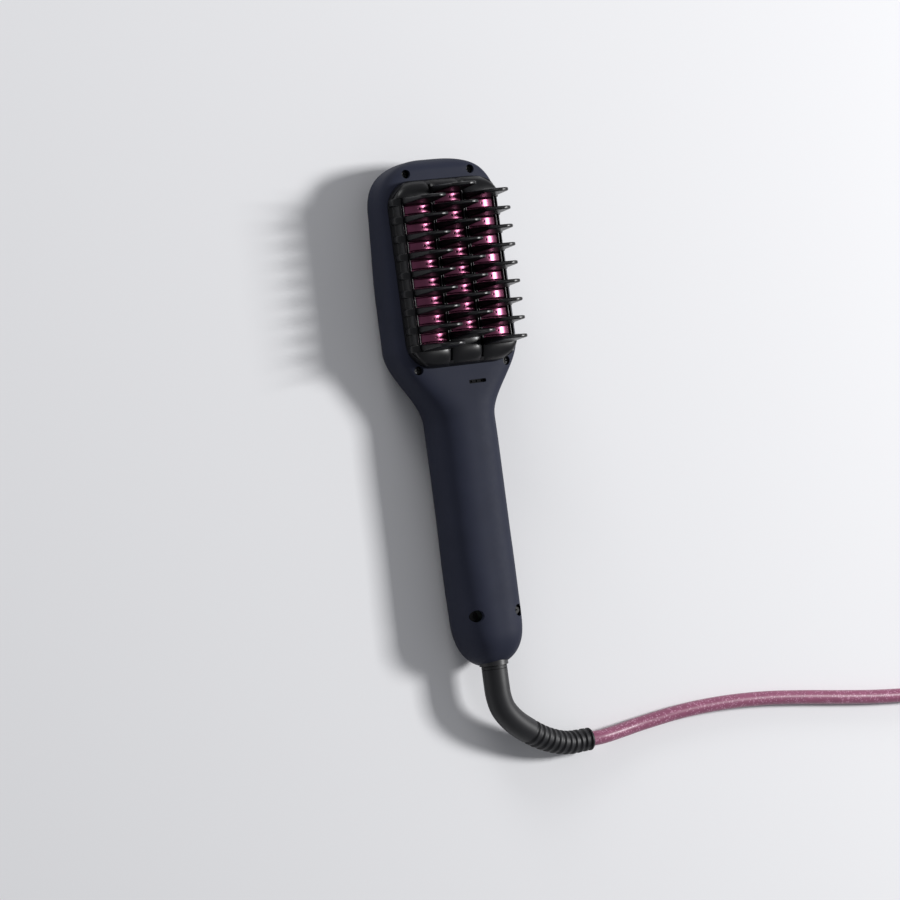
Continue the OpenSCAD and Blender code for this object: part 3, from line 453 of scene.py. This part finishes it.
def strain_relief():
    """Sleeve of the swivel: a smooth tube whose last two fifths carry ribs, each a rounded step in radius."""
    path = bend(RELIEF_ROUTE, 40)
    reach = np.concatenate([[0], np.cumsum(np.linalg.norm(np.diff(path, axis=0), axis=1))])
    even = np.linspace(0, reach[-1], 420)
    path = np.stack([np.interp(even, reach, path[:, k]) for k in range(3)], -1)
    ribs, ribbed = 11, 44.0
    along = (even - (reach[-1] - ribbed)) / ribbed
    wave = np.clip(np.sin(2 * np.pi * (along * ribs + 0.25)) * 2.6, -1, 1)
    groove = np.where(along > 0, 0.5 - 0.5 * wave, 0) * np.where(along > 1 - 0.35 / ribs, 0, 1)
    r = RELIEF_D / 2 * (1 - 0.1 * np.clip(along, 0, 1)) * (1 - 0.15 * groove)
    r[0] -= 0.5
    r[-3:] -= [0.15, 0.4, 0.9]
    piece = turned_out(new_piece("strain_relief_sleeve", *sweep(path, r, 40), RUBBER, 50))
    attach(piece, "cord_set")
    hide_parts("strain_relief")
    return piece


def plug():
    """Flat plug: superellipse sections lofted from the cord's round neck to the wide pin face. w and h are the
    width and height at the distance x from the neck, and a cosine in x cuts the grip's ridges."""
    x = np.array([0, 0.4, 3, 7, 11, 14, 17, 20, 23, 26, 30, 34, 36.6, 37.6, 38.0])
    w = np.array([9.6, 10.6, 11, 11.4, 12.4, 14.5, 18.5, 24, 29.5, 33, 34.8, 35, 34.6, 33.8, 32.6])
    h = np.array([9.6, 10.6, 11, 11.2, 11.4, 11.8, 12.4, 13, 13.4, 13.6, 13.6, 13.6, 13.2, 12.6, 11.6])
    sections, sides, ridge = 90, 64, 2.0
    fine = np.linspace(0, 1, sections) * x[-1]
    w, h = np.interp(fine, x, w), np.interp(fine, x, h)
    n = 2 + 1.6 * ease(8, 24, fine)
    a = np.linspace(0, 2 * np.pi, sides, endpoint=False)
    y = (w / 2)[:, None] * superpower(np.cos(a)[None], 2 / n[:, None])
    z = (h / 2)[:, None] * superpower(np.sin(a)[None], 2 / n[:, None])
    grip = 0.35 * np.where((fine > 26) & (fine < 34), 0.5 - 0.5 * np.cos(fine * 2 * np.pi / ridge), 0)
    z = z - np.sign(z) * grip[:, None]
    points = np.stack([np.broadcast_to(PLUG_X + fine[:, None], y.shape), PLUG_Y + y, PLUG_Z + z], -1)
    faces = tube_faces(sections, sides)
    piece = turned_out(new_piece("plug_shell", points.reshape(-1, 3), faces, RUBBER, 50))
    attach(piece, "cord_set")
    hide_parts("plug_body")
    return piece


CORD, CORD_PATH = mains_cord()
RELIEF = strain_relief()
PLUG = plug()


# ---- Shells, tank and controls ---------------------------------------------
SCREW_TOP, SCREW_LOW, SCREW_HANDLE = (18.6, TOP_Y - 7.7), (25.5, TOP_Y - 107.5), (12.1, END_Y + 27)
SLOT_X, SLOT_Y, SLOT_W, SLOT_H = 6.4, TOP_Y - 116.2, 10.0, 1.9
# place along Y, diameter, height of the face and of the flange
BUTTONS = {"power": (-62.0, 11.0, 1.8, 5.5), "temp_down": (-46.0, 8.0, 1.8, 5.5),
           "temp_up": (-34.0, 8.0, 1.8, 5.5), "steam": (1.0, 14.0, 0.9, 4.8)}
BUTTON_PLAY = 0.3
DISPLAY_Y, LENS_W, LENS_L = -17.0, 15.0, 9.0
TANK_W, TANK_LEN, TANK_TOP = 34.0, 80.0, 11.4
TANK_PLAY, TANK_WALL = 0.2, 3.0
POCKET_W, POCKET_Y = TANK_W + 2 * TANK_PLAY, TOP_Y - TANK_LEN - TANK_PLAY
SWIVEL_BORE = 15.1
SOCKET_Z, FILLER_Y = 6.6, TOP_Y - 67


def rod_y(x, z, d, y0, y1, steps=48):
    """Solid cylinder along Y."""
    c = circle(d, steps)
    base = np.column_stack([x + c[:, 0], np.full(len(c), y0), z + c[:, 1]])
    return np.concatenate([base, base + [0, y1 - y0, 0]]), tube_faces(2, len(c))


def front_cover():
    """Face half of the body, hollowed, with the bed's window, the screw recesses, the slot and the swivel's
    bore."""
    piece = turned_out(new_piece("front_cover", *half_body(1, 0, 0, 161, 260), NAVY))
    holes = [prism(circle(d), z, 45, side * x, y) for side in (-1, 1)
             for (x, y), d, z in ((SCREW_TOP, 4.6, 25.4), (SCREW_LOW, 4.6, 25.4), (SCREW_HANDLE, 6.2, 26.0))]
    window, slot = rounded_rectangle(BED_W, BED_LEN, BED_R, 16), rounded_rectangle(SLOT_W, SLOT_H, 0.6)
    cuts = [half_body(1, WALL, 1, 41, 60), prism(window, 20, 40, 0, BED_Y), gather(holes),
            prism(slot, 20, 40, SLOT_X, SLOT_Y), rod_y(0, AXLE_Z, SWIVEL_BORE, END_Y - 5, END_Y + 8)]
    carve(piece, [cutter(c) for c in cuts], 30)
    return piece


def back_cover():
    """Back half of the body, hollowed, flat where it rests, with the tank's bay, the holes for the controls and
    the swivel's bore."""
    piece = turned_out(new_piece("back_cover", *half_body(-1, 0, 0, 161, 260), NAVY))
    holes = [prism(circle(d + BUTTON_PLAY), -5, 9, 0, y) for y, d, _, _ in BUTTONS.values()]
    box = np.array([[-1, -1], [1, -1], [1, 1], [-1, 1]])
    bay = prism(box * [POCKET_W / 2, 50] + [0, POCKET_Y + 50], -5, TANK_TOP + TANK_PLAY)
    lens = rounded_rectangle(LENS_W + BUTTON_PLAY, LENS_L + BUTTON_PLAY, 1.6)
    cuts = [half_body(-1, WALL, 1, 41, 60), prism(box * [60, 200], -20, 0), gather(holes), bay,
            prism(lens, -5, 9, 0, DISPLAY_Y), rod_y(0, AXLE_Z, SWIVEL_BORE, END_Y - 5, END_Y + 8)]
    carve(piece, [cutter(c) for c in cuts], 30)
    return piece


def shells():
    """Both covers, in the place of the solids' shells."""
    for piece, node in ((front_cover(), "front_shell"), (back_cover(), "back_shell")):
        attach(piece, "brush")
        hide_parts(node)


def box_shape(x, y, z):
    """Closed box between two corners."""
    corners = np.array([[x[0], y[0]], [x[1], y[0]], [x[1], y[1]], [x[0], y[1]]], float)
    return prism(corners, z[0], z[1])


def tank():
    """Water tank: the body's back between the bay's walls, with its rails, its stepped hollow, the outlet's
    bore and the filler's recess."""
    piece = turned_out(new_piece("tank_body", *half_body(-1, 0, 0, 161, 260), TANK))
    low, half = TOP_Y - TANK_LEN, TANK_W / 2
    across, along, high = (-80, 80), (-200, 200), (-9, 40)
    outside = [box_shape((across[0], -half), along, high), box_shape((half, across[1]), along, high),
               box_shape(across, (along[0], low), high), box_shape(across, along, (TANK_TOP, high[1])),
               box_shape(across, along, (high[0], 0))]
    hollow = [box_shape((TANK_WALL - half, half - TANK_WALL), (TOP_Y - a, TOP_Y - b), (z, TANK_TOP - 1.6))
              for a, b, z in ((TANK_LEN - 4, 57, 2.9), (57.1, 39, 5.9), (39.1, 13, 7.9))]
    bores = [rod_y(0, SOCKET_Z, 6.1, low - 1, low + 5), rod_y(0, SOCKET_Z, 9, low - 1, low + 1.2),
             prism(circle(9.1), -1, 4, 0, FILLER_Y), prism(circle(13.4), -1, 1.5, 0, FILLER_Y)]
    carve(piece, [cutter(c) for c in outside + hollow + bores], 30)
    deep = 0.6  # half the depth of a rail
    rails = [box_shape((side * (half + deep) - deep, side * (half + deep) + deep), (low + 2, TOP_Y - 20),
                       (8.4, 10.4)) for side in (-1, 1)]
    runners = turned_out(new_piece("tank_rails", *gather(rails), TANK))
    for made in (piece, runners):
        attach(made, "tank")
        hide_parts("water_tank")


def turned(profile, y, steps=72):
    """Solid of a profile of radius and height, turned about the upright axis at y. The profile starts and ends
    on the axis."""
    r, z = np.asarray(profile, float).T
    r = np.maximum(r, 0.01)
    a = np.arange(steps) * 2 * np.pi / steps
    points = np.stack([r[:, None] * np.cos(a), y + r[:, None] * np.sin(a),
                       np.broadcast_to(z[:, None], (len(r), steps))], -1)
    return points.reshape(-1, 3), tube_faces(len(r), steps)


def button_profile(d, face, flange):
    """A button: a dished face, a rounded edge, a straight side and the flange that keeps it in."""
    r = d / 2
    share = np.linspace(0, 1, 10)
    dish = np.stack([share * 0.8 * r, face + 0.3 * (1 - share ** 2)], -1)
    a = np.linspace(0, np.pi / 2, 8)
    edge = np.stack([r - 0.5 + 0.5 * np.sin(a), face + 0.5 - 0.5 * np.cos(a)], -1)
    wide = r + 0.8
    return np.concatenate([dish, edge, [[r, flange], [wide, flange], [wide, flange + 1], [0, flange + 1]]])


def controls():
    """The four buttons and the filler's plug."""
    for name, (y, d, face, flange) in BUTTONS.items():
        shape = turned(button_profile(d, face, flange), y)
        piece = turned_out(new_piece(name + "_cap", *shape, BLACK_PLASTIC, 40))
        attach(piece, name + "_key")
        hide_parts(name + "_button")
    rim = [(0, 0.75), (3.4, 0.75), (3.8, 0.55), (4.3, 0.32), (6.0, 0.32), (6.4, 0.5), (6.5, 0.8), (6.5, 1.4),
           (4.5, 1.4), (4.5, 4.0), (4.3, 4.2), (0, 4.2)]
    piece = turned_out(new_piece("filler_bung", *turned(rim, FILLER_Y), RUBBER, 40))
    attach(piece, "filler_plug")
    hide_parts("tank_plug")


# ---- Bristle bed -----------------------------------------------------------
def column_y(k):
    """Middle of a column: the middle one stands half a pitch nearer the top of the head."""
    return BED_Y + (FIN_PITCH / 2 if k == 0 else 0)


def end_height(y, rise):
    """Height of the bed's top at y: level, and falling along a quarter ellipse END_SLOPE long at either end."""
    inner = np.clip(1 - (BED_LEN / 2 - np.abs(y - BED_Y)) / END_SLOPE, 0, 1)
    return FACE_Z + 0.2 + rise * np.sqrt(np.maximum(1 - inner ** 2, 0))


def bed_surround():
    """Frame of the bed: a profile carried round a rounded rectangle. Along the sides it is a steep wall, with a
    rounded foot under each outer fin; at the ends it follows the quarter ellipse under the lobes. share is
    the way from the frame's outline to the window's, and wall the height there."""
    share = np.array([0.03, 0.03, 0.3, 0.46, 0.52, 0.57, 0.63, 0.72, 0.83, 0.92, 0.98, 1.0, 1.0])
    wall = np.array([21.6, 30.1, 30.15, 30.6, 31.6, 33.4, 34.9, 36.0, 36.55, 36.8, 36.7, 36.4, 21.6])
    outer = rounded_rectangle(BED_W, BED_LEN, BED_R, 18)
    inner = rounded_rectangle(WINDOW_W, WINDOW_L, WINDOW_R, 18)
    flat = outer[:, None] + (inner - outer)[:, None] * share[None, :, None] + [0, BED_Y]
    slope = end_height(flat[..., 1], BED_RISE - 0.2) - 0.55
    ends = ease(0.15, 0.8, np.clip((np.abs(outer[:, 1]) - (BED_LEN / 2 - BED_R)) / BED_R, 0, 1))[:, None]
    body = (wall > 30)[None]
    z = np.where(body, wall + (np.maximum(slope, 30.1) - wall) * ends, wall)
    parts = [(np.concatenate([flat, z[..., None]], -1).reshape(-1, 3), loop_faces(len(outer), len(wall)))]
    for side in (-1, 1):
        for i in range(FIN_COUNT):
            y = column_y(side) + (i - (FIN_COUNT - 1) / 2) * FIN_PITCH
            parts.append(foot(side, y))
    piece = turned_out(new_piece("bed_surround", *gather(parts), GLOSS_BLACK, 45))
    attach(piece, "brush")
    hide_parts("bristle_frame")


def foot(side, y):
    """Rounded buttress against the bed's wall: superellipse sections in X and Y between the distances back and
    out from the middle of the bed, drawn in towards the top."""
    levels, sides, back = 16, 28, 27.2
    t = np.linspace(0, 1, levels)
    a = np.linspace(0, 2 * np.pi, sides, endpoint=False)
    out = 30.75 - 1.9 * ease(0.5, 1.0, t) - 1.2 * ease(0.85, 1.05, t)
    z = 29.6 + 7.25 * t
    half = (FIN_ROOT - 0.2) / 2 * (1 - 0.06 * t - 0.25 * ease(0.9, 1.0, t))
    mid, deep = (out + back) / 2, (out - back) / 2
    px = mid[:, None] + deep[:, None] * superpower(np.cos(a)[None], 0.5)
    py = y + half[:, None] * superpower(np.sin(a)[None], 0.5)
    points = np.stack([side * px, py, np.broadcast_to(z[:, None], px.shape)], -1)
    return points.reshape(-1, 3), tube_faces(levels, sides)


def fin(x, y):
    """One fin: superellipse sections whose width and thickness taper upwards, closed by a round tip."""
    v = 1 - (1 - np.linspace(0, 1, 30)) ** 1.7
    z0, top = BED_TOP - 3.6, BED_TOP + FIN_H
    z = z0 + (top - z0) * v
    t = np.clip((z - BED_TOP) / FIN_H, 0, 1)
    w = (FIN_W + (FIN_TIP_W - FIN_W) * t) * round_off(top - z, 3.4, 2.3)
    thick = (FIN_ROOT + (FIN_TIP - FIN_ROOT) * t) * round_off(top - z, 1.1, 2.0)
    w[-1], thick[-1] = FIN_TIP_W * 0.42, 0.25
    sides = 44
    a = np.linspace(0, 2 * np.pi, sides, endpoint=False)
    px = x + (w / 2)[:, None] * superpower(np.cos(a)[None], 0.28)
    py = y + (thick / 2)[:, None] * superpower(np.sin(a)[None], 0.45)
    points = np.stack([px, py, np.broadcast_to(z[:, None], px.shape)], -1)
    return points.reshape(-1, 3), tube_faces(len(z), sides)


def lobe(k, y0, y1):
    """Round end of a comb: arcs across the column, as far as the bed's corner on the outer side, whose height
    falls along the bed's quarter ellipse down to its outline."""
    sections, arcs, reach = 36, 41, 8.8
    t = np.linspace(0, 1, sections)
    y = y0 + (y1 - y0) * (1 - (1 - t) ** 1.6)
    past = np.maximum(np.abs(y - BED_Y) - (BED_LEN / 2 - BED_R), 0)
    limit = BED_W / 2 - BED_R - 0.5 + np.sqrt(np.maximum(BED_R ** 2 - past ** 2, 0.01))
    x0 = -limit if k < 0 else np.maximum(k * COLUMN_PITCH - reach, -limit)
    x1 = limit if k > 0 else np.minimum(k * COLUMN_PITCH + reach, limit)
    high = end_height(y, BED_RISE + 0.6)
    rise = np.minimum(2.8, (high - FACE_Z) * 0.6)
    a = np.linspace(0, np.pi, arcs)
    x = ((x0 + x1) / 2)[:, None] + ((x1 - x0) / 2)[:, None] * superpower(np.cos(a)[None], 0.75)
    z = (high - rise)[:, None] + rise[:, None] * superpower(np.sin(a)[None], 0.8)
    x = np.concatenate([x, x[:, -1:], x[:, :1]], 1)
    z = np.concatenate([z, np.full((sections, 2), FACE_Z - 1)], 1)
    points = np.stack([x, np.broadcast_to(y[:, None], x.shape), z], -1)
    return points.reshape(-1, 3), tube_faces(sections, arcs + 2)


def rail(x, y0, y1):
    """Side wall of a comb: a thin bar with a round top of radius r."""
    r, foot_z = 0.45, 27.6
    a = np.linspace(0, np.pi, 9)
    outline = np.concatenate([np.stack([r * np.cos(a), BED_TOP - 0.95 + r * np.sin(a)], -1),
                              [[-r, foot_z], [r, foot_z]]])
    ring = np.column_stack([x + outline[:, 0], np.full(len(outline), y0), outline[:, 1]])
    return np.concatenate([ring, ring + [0, y1 - y0, 0]]), tube_faces(2, len(outline))


def comb(name, k):
    """One column's comb: its fins, the lobes at either end and the two side rails."""
    first, last = column_y(k) - FIN_SPAN / 2, column_y(k) + FIN_SPAN / 2
    low_end, high_end = BED_Y - BED_LEN / 2 + 0.35, BED_Y + BED_LEN / 2 - 0.35
    x, root = k * COLUMN_PITCH, FIN_ROOT / 2 - 0.4
    parts = [fin(x, first + i * FIN_PITCH) for i in range(FIN_COUNT)]
    parts += [lobe(k, last + root, high_end), lobe(k, first - root, low_end)]
    parts += [rail(x + side * 8.35, first, last) for side in (-1, 1)]
    piece = turned_out(new_piece("comb_" + name + "_column", *gather(parts), GLOSS_BLACK, 50))
    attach(piece, "brush")
    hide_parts("comb_" + name)


def rib(x, y):
    """Heated rib between two fins: a pad crowned by an arc of radius r, with rounded edges and a dimpled steam
    hole, closed below."""
    length, crown, top = FIN_PITCH - FIN_ROOT - 0.54, 2.8, BED_TOP + 1.4
    round_x, round_y = 0.8, 0.7
    half_x = np.concatenate([np.linspace(0, 0.09, 8), np.linspace(0.14, 0.86, 10), np.linspace(0.89, 1, 8)])
    half_y = np.concatenate([np.linspace(0, 0.32, 8), np.linspace(0.42, 0.66, 3), np.linspace(0.7, 1, 8)])
    px = np.concatenate([-half_x[:0:-1], half_x]) * STRIP_W / 2
    py = np.concatenate([-half_y[:0:-1], half_y]) * length / 2
    nx, ny = len(px), len(py)
    gx, gy = np.meshgrid(px, py, indexing="ij")
    r = (STRIP_W ** 2 / 4 + crown ** 2) / (2 * crown)
    z = top - r + np.sqrt(r * r - gx ** 2)
    edge_y = np.clip((np.abs(gy) - (length / 2 - round_y)) / round_y, 0, 1)
    edge_x = np.clip((np.abs(gx) - (STRIP_W / 2 - round_x)) / round_x, 0, 1)
    z -= round_y * (1 - np.sqrt(1 - edge_y ** 2 * 0.98)) + round_x * (1 - np.sqrt(1 - edge_x ** 2 * 0.98))
    hole = np.clip(1 - np.hypot(gx, gy) / 0.6, 0, 1)
    z -= 0.5 * ease(0, 0.8, hole)
    upper = np.stack([gx + x, gy + y, z], -1)
    lower = upper.copy()
    lower[..., 2] = BED_TOP - 5
    j, i = np.meshgrid(np.arange(nx - 1), np.arange(ny - 1), indexing="ij")
    quads = np.stack([j * ny + i, (j + 1) * ny + i, (j + 1) * ny + i + 1, j * ny + i + 1], -1).reshape(-1, 4)
    rim = np.concatenate([np.arange(nx) * ny, (nx - 1) * ny + np.arange(1, ny),
                          np.arange(nx - 2, -1, -1) * ny + ny - 1, np.arange(ny - 2, 0, -1)])
    count = nx * ny
    sides = np.stack([rim, np.roll(rim, -1), np.roll(rim, -1) + count, rim + count], -1)
    underside = rim[::-1] + count
    points = np.concatenate([upper.reshape(-1, 3), lower.reshape(-1, 3)])
    used = np.unique(np.concatenate([np.arange(count), rim + count]))
    renumber = np.full(2 * count, -1)
    renumber[used] = np.arange(len(used))
    faces = [renumber[f].tolist() for f in list(quads) + list(sides) + [underside]]
    return points[used], faces


def heated_strip(name, k):
    """One column's heated strip: a bar with a rib between each two fins."""
    x, y = k * COLUMN_PITCH, column_y(k)
    parts = [rib(x, y + (i - (FIN_COUNT - 2) / 2) * FIN_PITCH) for i in range(FIN_COUNT - 1)]
    parts.append(prism(rounded_rectangle(STRIP_W, FIN_SPAN - FIN_ROOT, 0.4, 3), 24.6, 33.0, x, y))
    piece = turned_out(new_piece("heated_strip_" + name, *gather(parts), ROSE, 50))
    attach(piece, "brush")
    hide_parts("heater_plate_" + name)


# ---- Stage -----------------------------------------------------------------
def studio():
    """Pale table and soft light: a broad lamp on the picture's right, a weak one beyond the head, and a pale
    sky."""
    half = 6.0
    corners = np.array([[-1, -1, 0], [1, -1, 0], [1, 1, 0], [-1, 1, 0]])
    floor = new_piece("table_top", corners * half / MM, [[0, 1, 2, 3]])
    pale = bpy.data.materials.new("pale_table")
    pale.use_nodes = True
    shader = pale.node_tree.nodes["Principled BSDF"]
    shader.inputs["Base Color"].default_value = (0.74, 0.74, 0.755, 1)
    shader.inputs["Roughness"].default_value = 0.75
    floor.data.materials.append(pale)
    world = bpy.data.worlds.new("studio")
    world.use_nodes = True
    sky = world.node_tree.nodes["Background"]
    sky.inputs["Color"].default_value = (0.93, 0.95, 1.0, 1)
    sky.inputs["Strength"].default_value = 0.26
    bpy.context.scene.world = world
    lamp("key_light", 2.0 * RIGHT + 0.35 * UP - 0.5 * LOOK, 2.4, 0.5, 58.0)
    lamp("fill_light", -0.2 * RIGHT + 1.0 * UP - 0.55 * LOOK, 1.8, 0.7, 9.5)


def lamp(name, towards, distance, size, power):
    """Square lamp at a distance in metres from the brush, facing it."""
    d = towards / np.linalg.norm(towards)
    data = bpy.data.lights.new(name, "AREA")
    data.size = size
    data.energy = power
    made = bpy.data.objects.new(name, data)
    bpy.context.scene.collection.objects.link(made)
    side = np.cross([0, 1.0, 0], d)
    side /= np.linalg.norm(side)
    turned = Matrix([list(v) for v in np.array([side, np.cross(d, side), d]).T]).to_4x4()
    turned.translation = d * distance
    made.matrix_world = turned


finish_nodes()
shells()
tank()
controls()
bed_surround()
for column, place in COLUMNS.items():
    comb(column, place)
    heated_strip(column, place)
studio()
bpy.context.scene.view_settings.view_transform = "Standard"
